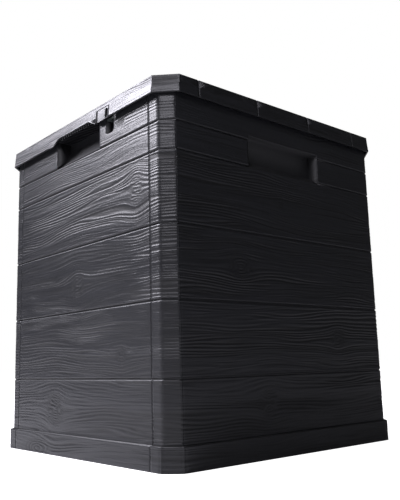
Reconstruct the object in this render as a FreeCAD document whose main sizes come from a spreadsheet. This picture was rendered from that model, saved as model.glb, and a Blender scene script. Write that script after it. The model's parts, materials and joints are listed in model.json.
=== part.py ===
import FreeCAD, Part
import math
import os
import Sketcher
from FreeCAD import Placement, Rotation, Vector

# Resin deck storage box: five wall and floor panels, a hinged two-piece lid and its metal hardware.
# Frame: X to the right, Y to the rear, Z up. The origin is the middle of the footprint, on the ground.

SIZES = {
    # walls
    "body_width": 500,        # outer face to outer face, above the plinth
    "body_depth": 512,
    "wall": 3.2,              # every moulded wall
    "wall_top": 558,          # top of the rim
    "rim_reach": 8,           # rim flange, inwards from the inner face
    "corner_cut": 20,         # leg of the chamfered upright corner
    "corner_return": 42,      # side panel's return onto the front and rear
    "panel_gap": 0.4,         # visible joint between two panels
    "cut_past": 1,            # how far a cutting shape runs past what it cuts
    "plinth_height": 35,
    "plinth_step": 5,         # how far the plinth stands out
    # plank grooves
    "first_groove": 125,
    "plank_pitch": 110,
    "plank_grooves": 4,
    "rim_band": 58,           # last groove, below the rim's top
    "groove_width": 3,
    "groove_depth": 1.6,
    # sliding T joint between the panels
    "joint_inset": 4.5,       # T rib's centre, inboard of the visible joint
    "joint_lift": 5,          # T rail's foot above the plinth
    "joint_drop": 13,         # its top below the rim
    "tee_rib": 3,
    "tee_height": 3.5,
    "tee_head": 11,
    "tee_thick": 3,
    "tee_back": 0.6,          # left behind a corner screw's hole in the T's head
    "slot_clear": 0.4,
    "channel_wall": 3,
    "corner_screw_margin": 60,
    # floor
    "floor_thick": 4,
    "floor_clear": 0.3,
    "skirt_inset": 9,
    "floor_rib": 3,
    "floor_ribs": 9,
    "lug_reach": 3,
    "lug_drop": 6,
    "lug_toe": 1,
    "lug_width": 24,
    # finger recess under the lid's front edge
    "recess_half": 71,
    "recess_rise": 45,        # height over which its back curves in
    "recess_depth": 27,
    # padlock pocket and bracket
    "lock_side": 102.5,       # pocket's middle, right of centre
    "lock_half": 10.5,
    "lock_drop": 40,          # pocket's floor, below the rim's top
    "lock_depth": 16,
    "lock_round": 4,
    "bracket_drop": 16.5,
    "bracket_height": 14.5,
    "bracket_thick": 2.5,
    "bracket_clear": 0.8,
    "bracket_screw_share": 0.55,  # screws' distance from its middle, as a share of the pocket's half width
    "shackle_offset": 2.5,    # shackle hole and lid slot, from the pocket's middle
    "shackle_radius": 4.25,
    "shackle_setback": 7.5,
    "lock_boss": 5,
    # side handle pockets
    "handle_half": 87,
    "handle_drop": 51,        # pocket's ceiling, below the rim's top
    "handle_height": 54,
    "handle_depth": 22,
    "handle_rise": 16,        # the pocket's floor climbs inwards
    # lid shell
    "lid_lap": 17,            # flange's edge below the rim's top
    "lid_rise": 12,           # cover's top above it
    "lid_overhang": 10,
    "lid_draft": 2.5,
    "lid_skin": 4,
    "flange_wall": 3.2,
    "lid_cut": 31,
    "lid_first": 68.5,        # front edge to the first groove
    "lid_last": 82.5,         # rear edge to the last
    "lid_grooves": 4,
    "side_groove": 2,
    "side_groove_depth": 1.2,
    "notch_half": 70,
    "notch_top_half": 51,
    "notch_height": 10,
    "slot_half": 3,
    "slot_lift": 2,
    "slot_height": 16,
    "pad_left": 29,           # shallow recess round the padlock slot, from the slot's middle
    "pad_right": 7,
    "pad_height": 21,
    "pad_depth": 1,
    "comb_half": 60,
    "comb_lift": 6,
    "comb_rib": 2.4,
    "comb_ribs": 17,
    "comb_reach": 31,
    # ribbed frame inside the lid
    "frame_edge": 2,          # its plate, inside the walls' outer face
    "frame_inset": 33,        # its locating ring, inside the walls' outer face
    "frame_seat": 0.2,        # gap above the rim
    "frame_skin": 3,
    "frame_drop": 7,          # ring's foot below the rim's top
    "frame_rib": 2.5,
    "frame_ribs": 7,
    "frame_notch": 4,         # past the comb and the padlock pocket
    # hinges
    "hinge_inset": 58,        # hinge's middle, inboard of the panel joint
    "hinge_out": 8.5,         # axis behind the rear wall's face
    "hinge_drop": 24,         # axis below the rim's top
    "barrel_radius": 5,
    "pin_radius": 2.5,
    "pin_clear": 0.06,
    "leaf_half": 30,
    "knuckle_half": 9.7,
    "knuckle_gap": 0.3,
    "wall_leaf": 3,
    "lid_leaf": 2,
    "leaf_length": 32,        # wall leaf below the axis
    "leaf_rise": 7,           # and above it
    "lid_leaf_lift": 1,
    "lid_leaf_height": 10,
    "lid_leaf_half": 14,
    "leaf_screw_drop": 22,
    "leaf_screw_pitch": 20,
    "rivet_half": 9,
    "hinge_boss_half": 35,
    "hinge_boss_height": 26,
    "hinge_boss": 8,
    "open_angle": 100,
    "heel_reach": 6.5,
    "heel_half": 6,
    "heel_gap": 0.1,
    # fasteners
    "screw_radius": 1.9,
    "screw_head": 3.6,
    "screw_head_height": 2,
    "screw_clear": 0.06,      # shank in its hole, all round
    "screw_bite": 9,
    "screw_tip": 0.5,         # hole past a screw's tip
    "lid_core_share": 0.6,    # a frame screw's hole in the lid's skin
    "lid_screw_share": 0.5,   # and the screw in it
    "rivet_radius": 2,
    "rivet_head": 3.4,
    "rivet_head_height": 1.3,
    "spot_clear": 0.4,
    "rivet_sink": 0.1,        # rivet head's seat behind the flange's face
    "pin_head": 4,
    "pin_head_height": 1.5,
    "clip_thick": 1.2,
}

doc = FreeCAD.newDocument("deck_storage_box")
sheet = doc.addObject("Spreadsheet::Sheet", "dims")
for row, (alias, size) in enumerate(SIZES.items(), start=1):
    sheet.set(f"A{row}", alias)
    sheet.set(f"B{row}", str(size))
    sheet.setAlias(f"B{row}", alias)
doc.recompute()

half_width = "(dims.body_width / 2)"
half_depth = "(dims.body_depth / 2)"
inner_depth = f"({half_depth} - dims.wall)"
joint_line = f"({half_width} - dims.corner_return)"
rim_groove = "(dims.wall_top - dims.rim_band)"
joint_low = "(dims.plinth_height + dims.joint_lift)"
joint_high = "(dims.wall_top - dims.joint_drop)"
recess_low = rim_groove
lock_low = "(dims.wall_top - dims.lock_drop)"
bracket_low = "(dims.wall_top - dims.bracket_drop)"
bracket_top = f"({bracket_low} + dims.bracket_height)"
shackle_side = "(dims.lock_side + dims.shackle_offset)"
handle_high = "(dims.wall_top - dims.handle_drop)"
handle_low = f"({handle_high} - dims.handle_height)"
lid_low = "(dims.wall_top - dims.lid_lap)"
lid_top = "(dims.wall_top + dims.lid_rise)"
slot_low = f"({lid_low} + dims.slot_lift)"
slot_high = f"({slot_low} + dims.slot_height)"
comb_low = f"({lid_low} + dims.comb_lift)"
frame_low = "(dims.wall_top - dims.frame_drop)"
hinge_side = f"({joint_line} - dims.hinge_inset)"
hinge_height = "(dims.wall_top - dims.hinge_drop)"
leaf_low = f"({hinge_height} - dims.leaf_length)"
leaf_top = f"({hinge_height} + dims.leaf_rise)"
lid_leaf_low = f"({lid_low} + dims.lid_leaf_lift)"
lid_leaf_top = f"({lid_leaf_low} + dims.lid_leaf_height)"
leaf_screw_height = f"({hinge_height} - dims.leaf_screw_drop)"
rivet_height = f"({lid_leaf_low} + dims.lid_leaf_height / 2)"
tee_centre = f"({joint_line} - dims.joint_inset)"
floor_top = "(dims.plinth_height - dims.wall - dims.floor_clear)"
skin_under = f"({lid_top} - dims.lid_skin)"
draft_slope = f"(dims.lid_draft / ({lid_top} - {lid_low}))"
draft_angle = f"atan({draft_slope})"
lid_width = f"({half_width} + dims.lid_overhang)"
lid_depth = f"({half_depth} + dims.lid_overhang)"
hinge_axis = f"({half_depth} + dims.hinge_out)"
wall_leaf_face = f"({half_depth} + dims.wall_leaf)"
lid_leaf_face = f"({hinge_axis} - dims.barrel_radius)"
pin_bore = "(dims.pin_radius + dims.pin_clear)"
screw_bore = "(dims.screw_radius + dims.screw_clear)"
rivet_bore = "(dims.rivet_radius + dims.screw_clear)"
bracket_back = f"(dims.lock_depth - {half_depth})"

nodes = []


def value(expression):
    return float(sheet.evalExpression(str(expression)))


def count(alias):
    return int(value(f"dims.{alias}"))


def origin_part(body, role):
    return next(f for f in body.Origin.OriginFeatures if f.Role == role)


def new_body(label):
    body = doc.addObject("PartDesign::Body", label)
    body.Label = label
    nodes.append(body)
    return body


def fix_point(sketch, edge, end, x, y):
    # holds one end of an edge at (x, y), with each coordinate bound to its expression
    for kind, axis, expression in (("DistanceX", -2, x), ("DistanceY", -1, y)):
        if abs(value(expression)) < 1e-9:
            sketch.addConstraint(Sketcher.Constraint("PointOnObject", edge, end, axis))
        else:
            place = Sketcher.Constraint(kind, -1, 1, edge, end, value(expression))
            index = sketch.addConstraint(place)
            sketch.setExpression(f"Constraints[{index}]", str(expression))


def bind_radius(sketch, edge, radius):
    index = sketch.addConstraint(Sketcher.Constraint("Radius", edge, value(radius)))
    sketch.setExpression(f"Constraints[{index}]", str(radius))


def draw_arc(sketch, start, end, radius, side):
    # minor arc from start to end; side is 1 with its centre on the left of the way, -1 on the right
    r = value(radius)
    chord = end - start
    rise = math.sqrt(max(0, r * r - chord.Length ** 2 / 4))
    left = Vector(-chord.y, chord.x, 0).normalize()
    centre = (start + end) * 0.5 + left * rise * side
    first, last = (start, end) if side > 0 else (end, start)
    angles = [math.atan2(p.y - centre.y, p.x - centre.x) for p in (first, last)]
    circle = Part.Circle(centre, Vector(0, 0, 1), r)
    return sketch.addGeometry(Part.ArcOfCircle(circle, angles[0], angles[1]), False)


def outline(sketch, points, closed=True):
    # a point is (x, y), or (x, y, radius, side) when an arc leads to it
    places = [Vector(value(p[0]), value(p[1]), 0) for p in points]
    count_edges = len(points) if closed else len(points) - 1
    edges = []
    for i in range(count_edges):
        target = points[(i + 1) % len(points)]
        start, end = places[i], places[(i + 1) % len(points)]
        if len(target) == 4:
            edge = draw_arc(sketch, start, end, target[2], target[3])
            ends = (1, 2) if target[3] > 0 else (2, 1)
        else:
            edge = sketch.addGeometry(Part.LineSegment(start, end), False)
            ends = (1, 2)
        edges.append((edge, ends))
    for i, (edge, ends) in enumerate(edges):
        if closed or i + 1 < count_edges:
            following, following_ends = edges[(i + 1) % count_edges]
            join = Sketcher.Constraint("Coincident", edge, ends[1], following, following_ends[0])
            sketch.addConstraint(join)
        fix_point(sketch, edge, ends[0], points[i][0], points[i][1])
        target = points[(i + 1) % len(points)]
        if len(target) == 4:
            bind_radius(sketch, edge, target[2])
    if not closed:
        edge, ends = edges[-1]
        fix_point(sketch, edge, ends[1], points[-1][0], points[-1][1])


def new_sketch(body, name, plane, offset):
    # plane XY looks up, XZ looks along -Y and YZ along +X; offset is the coordinate it stands at
    sketch = body.newObject("Sketcher::SketchObject", name)
    sketch.AttachmentSupport = [(origin_part(body, f"{plane}_Plane"), "")]
    sketch.MapMode = "FlatFace"
    sign = "-1 * " if plane == "XZ" else ""
    sketch.setExpression("AttachmentOffset.Base.z", f"{sign}({offset})")
    return sketch


def extrude(body, name, plane, shape, low, high, cut=False, taper=None):
    # adds or cuts a prism between two coordinates; shape is a list of points, or a circle (x, y, radius)
    sketch = new_sketch(body, f"{name}_sketch", plane, low)
    if isinstance(shape, tuple):
        centre = Vector(value(shape[0]), value(shape[1]), 0)
        edge = sketch.addGeometry(Part.Circle(centre, Vector(0, 0, 1), value(shape[2])), False)
        fix_point(sketch, edge, 3, shape[0], shape[1])
        bind_radius(sketch, edge, shape[2])
    else:
        outline(sketch, shape)
    feature = body.newObject("PartDesign::Pocket" if cut else "PartDesign::Pad", name)
    feature.Profile = sketch
    feature.Reversed = (plane == "XZ") != cut
    feature.setExpression("Length", f"({high}) - ({low})")
    if taper:
        feature.setExpression("TaperAngle", taper)
    return feature


def pattern(body, name, feature, axis, length, occurrences):
    rows = body.newObject("PartDesign::LinearPattern", name)
    rows.Originals = [feature]
    rows.Direction = (origin_part(body, f"{axis}_Axis"), [""])
    rows.setExpression("Length", str(length))
    rows.setExpression("Occurrences", str(occurrences))
    body.Tip = rows
    return rows


def rectangle(left, right, low, high):
    return [(left, low), (right, low), (right, high), (left, high)]


def octagon(width, depth, cut):
    corner = [(f"{width} - ({cut})", depth), (width, f"{depth} - ({cut})")]
    quarter = [(1, 1, corner[::-1]), (-1, 1, corner), (-1, -1, corner[::-1]), (1, -1, corner)]
    return [(f"{sx} * ({x})", f"{sy} * ({y})") for sx, sy, pair in quarter for x, y in pair]


def wall_octagon(inset):
    # the walls' outline moved inwards, its chamfers kept parallel
    cut = f"dims.corner_cut - ({inset}) * (2 - sqrt(2))"
    return octagon(f"({half_width} - ({inset}))", f"({half_depth} - ({inset}))", cut)


def wall_rectangle(inset):
    width, depth = f"({half_width} - ({inset}))", f"({half_depth} - ({inset}))"
    return rectangle(f"-1 * {width}", width, f"-1 * {depth}", depth)


def mirror_y(points):
    return [(f"-1 * ({x})", z) for x, z in points]


def groove_heights():
    planks = [f"dims.first_groove + {i} * dims.plank_pitch" for i in range(count("plank_grooves"))]
    return planks + [rim_groove]


def wall_section(face):
    # wall section as (place, height), outwards being away from the middle; face is the outer face
    points = [("dims.plinth_step", "0"), ("dims.plinth_step", "dims.plinth_height")]
    points += [("0", "dims.plinth_height")]
    for height in groove_heights():
        points += [("0", f"{height} - dims.groove_width / 2")]
        points += [("-1 * dims.groove_depth", height)]
        points += [("0", f"{height} + dims.groove_width / 2")]
    points += [("0", "dims.wall_top")]
    points += [("-1 * (dims.wall + dims.rim_reach)", "dims.wall_top")]
    points += [("-1 * (dims.wall + dims.rim_reach)", "dims.wall_top - dims.wall")]
    points += [("-1 * dims.wall", "dims.wall_top - dims.wall")]
    points += [("-1 * dims.wall", "dims.plinth_height - dims.wall")]
    points += [("dims.plinth_step - dims.wall", "dims.plinth_height - dims.wall")]
    points += [("dims.plinth_step - dims.wall", "0")]
    return [(f"{face} + ({out})", height) for out, height in points]


def lug_section(face):
    # catch that holds the floor's edge from below
    top = f"{floor_top} - dims.floor_thick - dims.floor_clear"
    inner = f"{face} + dims.plinth_step - dims.wall"
    return [
        (f"{inner} + dims.wall / 3", top),
        (f"{inner} - dims.lug_reach", top),
        (f"{inner} - dims.lug_reach", f"{top} - dims.lug_toe"),
        (inner, f"{top} - dims.lug_drop"),
        (f"{inner} + dims.wall / 3", f"{top} - dims.lug_drop"),
    ]


def tee(body, name, sx, sy):
    # T rail on the inner face of a front or rear panel, near one end
    def place(x, y):
        return (f"{sx} * ({tee_centre} + ({x}))", f"{sy} * ({inner_depth} - ({y}))")

    rib, head, root = "dims.tee_rib / 2", "dims.tee_head / 2", "-1 * dims.cut_past"
    neck, tip = "dims.tee_height", "dims.tee_height + dims.tee_thick"
    points = [place(f"-1 * {rib}", root), place(rib, root), place(rib, neck), place(head, neck)]
    points += [place(head, tip), place(f"-1 * {head}", tip), place(f"-1 * {head}", neck)]
    points += [place(f"-1 * {rib}", neck)]
    extrude(body, name, "XY", points, joint_low, joint_high)


def channel(body, name, sx, sy):
    # C channel on a side panel's return, round the T rail
    def place(x, y):
        return (f"{sx} * ({tee_centre} + ({x}))", f"{sy} * ({inner_depth} - ({y}))")

    slot = "dims.tee_rib / 2 + dims.slot_clear"
    room = "dims.tee_head / 2 + dims.slot_clear"
    shell = f"{room} + dims.channel_wall"
    root = "dims.joint_inset + dims.panel_gap + dims.slot_clear"
    lip_front, lip_back = "dims.slot_clear", "dims.tee_height - dims.slot_clear"
    bottom = "dims.tee_height + dims.tee_thick + dims.slot_clear"
    points = [
        place(root, "-1 * dims.wall / 3"),
        place(shell, "-1 * dims.wall / 3"),
        place(shell, f"{bottom} + dims.channel_wall"),
        place(f"-1 * ({shell})", f"{bottom} + dims.channel_wall"),
        place(f"-1 * ({shell})", lip_front),
        place(f"-1 * ({slot})", lip_front),
        place(f"-1 * ({slot})", lip_back),
        place(f"-1 * ({room})", lip_back),
        place(f"-1 * ({room})", bottom),
        place(room, bottom),
        place(room, lip_back),
        place(slot, lip_back),
        place(slot, lip_front),
        place(root, lip_front),
    ]
    extrude(body, name, "XY", points, joint_low, joint_high)


def corner_screw_heights():
    return [f"{joint_low} + dims.corner_screw_margin", f"{joint_high} - dims.corner_screw_margin"]


def end_panel(label, sy):
    # front (sy -1) or rear (sy 1) wall, between the two side panels' returns
    body = new_body(label)
    section = wall_section(half_depth)
    if sy < 0:
        section = mirror_y(section)
    end = f"({joint_line} - dims.panel_gap / 2)"
    extrude(body, "wall_run", "YZ", section, f"-1 * {end}", end)
    for side, sx in (("left", -1), ("right", 1)):
        tee(body, f"tee_{side}", sx, sy)
        for i, height in enumerate(corner_screw_heights()):
            tip = f"({inner_depth} - dims.tee_height - dims.tee_thick)"
            blind = f"({tip} + dims.tee_thick - dims.tee_back)"
            ends = sorted([f"{sy} * {tip}", f"{sy} * {blind}"], key=value)
            hole = (f"{sx} * {tee_centre}", height, screw_bore)
            extrude(body, f"core_{side}_{i}", "XZ", hole, ends[0], ends[1], cut=True)
        lug = lug_section(half_depth)
        middle = f"{sx} * {half_width} / 2"
        half = "dims.lug_width / 2"
        extrude(body, f"lug_{side}", "YZ", mirror_y(lug) if sy < 0 else lug,
                f"{middle} - {half}", f"{middle} + {half}")
    return body


def make_front_panel():
    body = end_panel("front_panel", -1)
    face = f"(-1 * {half_depth})"
    finger_recess(body, face)
    padlock_pocket(body, face)


def finger_recess(body, face):
    radius = "((dims.recess_depth ^ 2 + dims.recess_rise ^ 2) / (2 * dims.recess_depth))"
    outer = f"({radius} + dims.wall)"
    turn = f"({recess_low} + dims.recess_rise)"
    centre = f"({face} + dims.recess_depth - {radius})"
    inside = f"({face} + dims.wall / 2)"
    start = f"{turn} - sqrt({outer} ^ 2 - ({inside} - {centre}) ^ 2)"
    block = [
        (inside, start),
        (f"{face} + dims.recess_depth + dims.wall", turn, outer, 1),
        (f"{face} + dims.recess_depth + dims.wall", "dims.wall_top"),
        (inside, "dims.wall_top"),
    ]
    half = "(dims.recess_half + dims.wall)"
    extrude(body, "recess_block", "YZ", block, f"-1 * {half}", half)
    space = [
        (face, recess_low),
        (f"{face} + dims.recess_depth", turn, radius, 1),
        (f"{face} + dims.recess_depth", "dims.wall_top + dims.cut_past"),
        (f"{face} - dims.cut_past", "dims.wall_top + dims.cut_past"),
        (f"{face} - dims.cut_past", recess_low),
    ]
    extrude(body, "recess_space", "YZ", space, "-1 * dims.recess_half", "dims.recess_half", cut=True)


def padlock_pocket(body, face):
    left, right = "dims.lock_side - dims.lock_half", "dims.lock_side + dims.lock_half"
    block = rectangle(f"{left} - dims.wall", f"{right} + dims.wall", f"{lock_low} - dims.wall",
                      "dims.wall_top")
    back = f"{face} + dims.lock_depth + dims.wall"
    extrude(body, "lock_block", "XZ", block, f"{face} + dims.wall / 2", back)
    boss = rectangle(left, right, f"{bracket_low} + dims.bracket_thick", "dims.wall_top")
    extrude(body, "lock_boss", "XZ", boss, f"{back} - dims.wall / 2", f"{back} + dims.lock_boss")
    space = [
        (f"{left} + dims.lock_round", lock_low, "dims.lock_round", 1),
        (f"{right} - dims.lock_round", lock_low),
        (right, f"{lock_low} + dims.lock_round", "dims.lock_round", 1),
        (right, "dims.wall_top + dims.cut_past"),
        (left, "dims.wall_top + dims.cut_past"),
        (left, f"{lock_low} + dims.lock_round"),
    ]
    deep = f"{face} + dims.lock_depth"
    extrude(body, "lock_space", "XZ", space, f"{face} - dims.cut_past", deep, cut=True)
    for side, x, z in bracket_screw_places():
        hole = (x, z, screw_bore)
        extrude(body, f"lock_hole_{side}", "XZ", hole, f"{deep} - dims.cut_past",
                f"{back} + dims.lock_boss - dims.cut_past", cut=True)


def bracket_screw_places():
    height = f"({bracket_low} + dims.bracket_thick + {bracket_top}) / 2"
    return [(side, f"dims.lock_side + {s} * dims.lock_half * dims.bracket_screw_share", height)
            for side, s in (("left", -1), ("right", 1))]


def make_lock_bracket():
    # bent steel plate: a level tab with the shackle hole, and an upright leg on the pocket's back
    body = new_body("lock_bracket")
    left = "dims.lock_side - dims.lock_half + dims.bracket_clear"
    right = "dims.lock_side + dims.lock_half - dims.bracket_clear"
    front = f"dims.bracket_clear - {half_depth}"
    tab = rectangle(left, right, front, bracket_back)
    extrude(body, "tab", "XY", tab, bracket_low, f"{bracket_low} + dims.bracket_thick")
    leg = rectangle(left, right, bracket_low, bracket_top)
    extrude(body, "leg", "XZ", leg, f"{bracket_back} - dims.bracket_thick", bracket_back)
    hole = (shackle_side, f"dims.shackle_setback - {half_depth}", "dims.shackle_radius")
    extrude(body, "shackle_hole", "XY", hole, f"{bracket_low} - dims.cut_past",
            f"{bracket_low} + dims.bracket_thick + dims.cut_past", cut=True)
    for side, x, z in bracket_screw_places():
        front_face = f"{bracket_back} - dims.bracket_thick"
        extrude(body, f"hole_{side}", "XZ", (x, z, screw_bore), f"{front_face} - dims.cut_past",
                f"{bracket_back} + dims.cut_past", cut=True)


def hinge_sides():
    return [("left", f"(-1 * {hinge_side})"), ("right", hinge_side)]


def leaf_screw_places(x):
    return [f"{x} + {i} * dims.leaf_screw_pitch" for i in (-1, 0, 1)]


def make_rear_panel():
    body = end_panel("rear_panel", 1)
    inner = f"{inner_depth} - dims.hinge_boss"
    for side, x in hinge_sides():
        boss = rectangle(f"{x} - dims.hinge_boss_half", f"{x} + dims.hinge_boss_half",
                         f"{leaf_screw_height} - dims.hinge_boss_height / 2",
                         f"{leaf_screw_height} + dims.hinge_boss_height / 2")
        extrude(body, f"hinge_boss_{side}", "XZ", boss, inner, f"{inner_depth} + dims.wall / 3")
        for i, place in enumerate(leaf_screw_places(x)):
            hole = (place, leaf_screw_height, screw_bore)
            extrude(body, f"leaf_core_{side}_{i}", "XZ", hole, f"{half_depth} - dims.screw_bite",
                    f"{half_depth} + dims.cut_past", cut=True)


def make_side_panel(label, sx):
    # side wall whose ends turn round the chamfered corners onto the front and rear
    body = new_body(label)
    start = f"({joint_line} + dims.panel_gap / 2)"
    turn = f"({half_width} - dims.corner_cut)"
    along = f"({half_depth} - dims.corner_cut)"
    half_path = [(start, f"-1 * {half_depth}"), (turn, f"-1 * {half_depth}"),
                 (half_width, f"-1 * {along}")]
    path = half_path + [(x, y.replace("-1 * ", "")) for x, y in half_path[::-1]]
    spine = new_sketch(body, "plan", "XY", "0")
    outline(spine, [(f"{sx} * {x}", y) for x, y in path], closed=False)
    section = new_sketch(body, "section", "YZ", f"{sx} * {start}")
    outline(section, mirror_y(wall_section(half_depth)))
    run = body.newObject("PartDesign::AdditivePipe", "wall_run")
    run.Profile = section
    run.Spine = (spine, [f"Edge{i + 1}" for i in range(len(path) - 1)])
    run.Transition = "Right corner"
    for end, sy in (("front", -1), ("rear", 1)):
        channel(body, f"channel_{end}", sx, sy)
        back = f"{inner_depth} - dims.tee_height - dims.tee_thick - dims.slot_clear"
        near, far = f"({back} + dims.cut_past)", f"({back} - dims.channel_wall - dims.cut_past)"
        ends = sorted([f"{sy} * {near}", f"{sy} * {far}"], key=value)
        for i, height in enumerate(corner_screw_heights()):
            hole = (f"{sx} * {tee_centre}", height, "dims.screw_radius + dims.slot_clear")
            extrude(body, f"clear_{end}_{i}", "XZ", hole, ends[0], ends[1], cut=True)
        lug = [(f"{sx} * ({x})", z) for x, z in lug_section(half_width)]
        middle = f"{sy} * {half_depth} / 2"
        extrude(body, f"lug_{end}", "XZ", lug, f"{middle} - dims.lug_width / 2",
                f"{middle} + dims.lug_width / 2")
    handle_pocket(body, sx)


def handle_pocket(body, sx):
    def place(inwards, height):
        return (f"{sx} * ({half_width} - ({inwards}))", height)

    back = "dims.handle_depth"
    block = [
        place("dims.wall / 2", f"{handle_low} - dims.wall"),
        place("dims.wall / 2", f"{handle_high} + dims.wall"),
        place(f"{back} + dims.wall", f"{handle_high} + dims.wall"),
        place(f"{back} + dims.wall", f"{handle_low} + dims.handle_rise - dims.wall"),
    ]
    half = "(dims.handle_half + dims.wall)"
    extrude(body, "handle_block", "XZ", block, f"-1 * {half}", half)
    space = [
        place("-1 * dims.cut_past", handle_low),
        place("-1 * dims.cut_past", handle_high),
        place(back, handle_high),
        place(back, f"{handle_low} + dims.handle_rise"),
        place("0", handle_low),
    ]
    extrude(body, "handle_space", "XZ", space, "-1 * dims.handle_half", "dims.handle_half", cut=True)


def make_floor_panel():
    # flat deck on a skirt and a lattice of ribs, caught between the plinth's ledge and its lugs
    body = new_body("floor_panel")
    edge = "(dims.wall + dims.floor_clear - dims.plinth_step)"
    deck_low = f"({floor_top} - dims.floor_thick)"
    extrude(body, "deck", "XY", wall_octagon(edge), deck_low, floor_top)
    skirt = f"({edge} + dims.skirt_inset)"
    extrude(body, "skirt", "XY", wall_octagon(skirt), "0", deck_low)
    extrude(body, "skirt_space", "XY", wall_octagon(f"{skirt} + dims.floor_rib"), "0", deck_low, cut=True)
    lattice(body, half_width, half_depth, skirt, "dims.floor_rib", "floor_ribs", "0", deck_low)


def lattice(body, across, deep, ring, rib, ribs, low, high):
    # evenly spaced ribs both ways between the walls of a ring; one of each crosses the middle
    reach = f"({ring} + {rib} / 2)"
    for name, axis, span, length in (("x", "Y", deep, across), ("y", "X", across, deep)):
        inner = f"(2 * ({span} - {ring} - {rib}))"
        pitch = f"({inner} / (dims.{ribs} + 1))"
        first = f"({pitch} - {inner} / 2)"
        end = f"({length} - {reach})"
        sides = [f"{first} - {rib} / 2", f"{first} + {rib} / 2"]
        if name == "x":
            bar = rectangle(f"-1 * {end}", end, sides[0], sides[1])
        else:
            bar = rectangle(sides[0], sides[1], f"-1 * {end}", end)
        rib_pad = extrude(body, f"rib_{name}", "XY", bar, low, high)
        pattern(body, f"ribs_{name}", rib_pad, axis, f"{pitch} * (dims.{ribs} - 1)", f"dims.{ribs}")


def lid_groove_places():
    first = f"(dims.lid_first - {lid_depth})"
    pitch = f"(2 * {lid_depth} - dims.lid_first - dims.lid_last) / (dims.lid_grooves - 1)"
    return [f"({first} + {i} * {pitch})" for i in range(count("lid_grooves"))]


def make_lid_shell():
    # moulded cover: a drafted flange round a flat top of planks
    body = new_body("lid_shell")
    outer = octagon(lid_width, lid_depth, "dims.lid_cut")
    extrude(body, "cover", "XY", outer, lid_low, lid_top, taper=f"-1 * {draft_angle}")
    inset_cut = "dims.lid_cut - dims.flange_wall * (2 - sqrt(2))"
    inner = octagon(f"({lid_width} - dims.flange_wall)", f"({lid_depth} - dims.flange_wall)", inset_cut)
    extrude(body, "hollow", "XY", inner, lid_low, skin_under, cut=True, taper=f"-1 * {draft_angle}")
    lid_planks(body)
    lid_front(body)
    lid_comb(body)
    lid_rear(body)
    for i, (x, y) in enumerate(frame_screw_places()):
        core = (x, y, screw_bore)
        extrude(body, f"frame_core_{i}", "XY", core, f"{skin_under} - dims.cut_past",
                f"{skin_under} + dims.lid_skin * dims.lid_core_share", cut=True)


def lid_planks(body):
    half = "dims.groove_width / 2"
    for i, place in enumerate(lid_groove_places()):
        vee = [(f"{place} - {half}", lid_top), (place, f"{lid_top} - dims.groove_depth"),
               (f"{place} + {half}", lid_top), (place, f"{lid_top} + dims.cut_past")]
        extrude(body, f"groove_{i}", "YZ", vee, f"-1 * {lid_width}", lid_width, cut=True)
        for side, sx in (("left", -1), ("right", 1)):
            strip = [
                (f"{sx} * ({lid_width} + dims.cut_past)", lid_low),
                (f"{sx} * ({lid_width} - dims.side_groove_depth)", lid_low),
                (f"{sx} * ({lid_width} - dims.side_groove_depth - dims.lid_draft)", lid_top),
                (f"{sx} * ({lid_width} + dims.cut_past)", lid_top),
            ]
            extrude(body, f"line_{side}_{i}", "XZ", strip, f"{place} - dims.side_groove / 2",
                    f"{place} + dims.side_groove / 2", cut=True)


def lid_front(body):
    # finger notch, shallow pad and padlock slot in the front flange
    face = f"(-1 * {lid_depth})"
    back = f"({face} + dims.flange_wall + dims.lid_draft + dims.cut_past)"
    notch = [
        ("-1 * dims.notch_half", lid_low),
        ("dims.notch_half", lid_low),
        ("dims.notch_top_half", f"{lid_low} + dims.notch_height"),
        ("-1 * dims.notch_top_half", f"{lid_low} + dims.notch_height"),
    ]
    extrude(body, "notch", "XZ", notch, f"{face} - dims.cut_past", back, cut=True)
    climb = f"dims.pad_height * {draft_slope}"
    pad_high = f"{lid_low} + dims.pad_height"
    pad = [
        (f"{face} - dims.cut_past", lid_low),
        (f"{face} + dims.pad_depth", lid_low),
        (f"{face} + dims.pad_depth + {climb}", pad_high),
        (f"{face} - dims.cut_past", pad_high),
    ]
    extrude(body, "lock_pad", "YZ", pad, f"{shackle_side} - dims.pad_left",
            f"{shackle_side} + dims.pad_right", cut=True)
    left, right = f"{shackle_side} - dims.slot_half", f"{shackle_side} + dims.slot_half"
    low, high = f"{slot_low} + dims.slot_half", f"{slot_high} - dims.slot_half"
    slot = [
        (left, low),
        (shackle_side, slot_low, "dims.slot_half", 1),
        (right, low, "dims.slot_half", 1),
        (right, high),
        (shackle_side, slot_high, "dims.slot_half", 1),
        (left, high, "dims.slot_half", 1),
    ]
    extrude(body, "lock_slot", "XZ", slot, f"{face} - dims.cut_past", back, cut=True)


def lid_comb(body):
    # close-set ribs under the front edge, over the finger recess
    front = f"(dims.flange_wall / 2 + dims.lid_draft - {lid_depth})"
    rib = [
        (f"{front} + dims.cut_past", comb_low),
        (f"{front} + dims.comb_reach", comb_low),
        (f"{front} + dims.comb_reach", f"{skin_under} + dims.lid_skin / 3"),
        (front, f"{skin_under} + dims.lid_skin / 3"),
        (front, f"{lid_low} + dims.notch_height"),
        (f"{front} + dims.cut_past", f"{lid_low} + dims.notch_height"),
    ]
    first = "(-1 * dims.comb_half)"
    tooth = extrude(body, "comb_rib", "YZ", rib, first, f"{first} + dims.comb_rib")
    pattern(body, "comb", tooth, "X", "2 * dims.comb_half - dims.comb_rib", "dims.comb_ribs")


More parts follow.
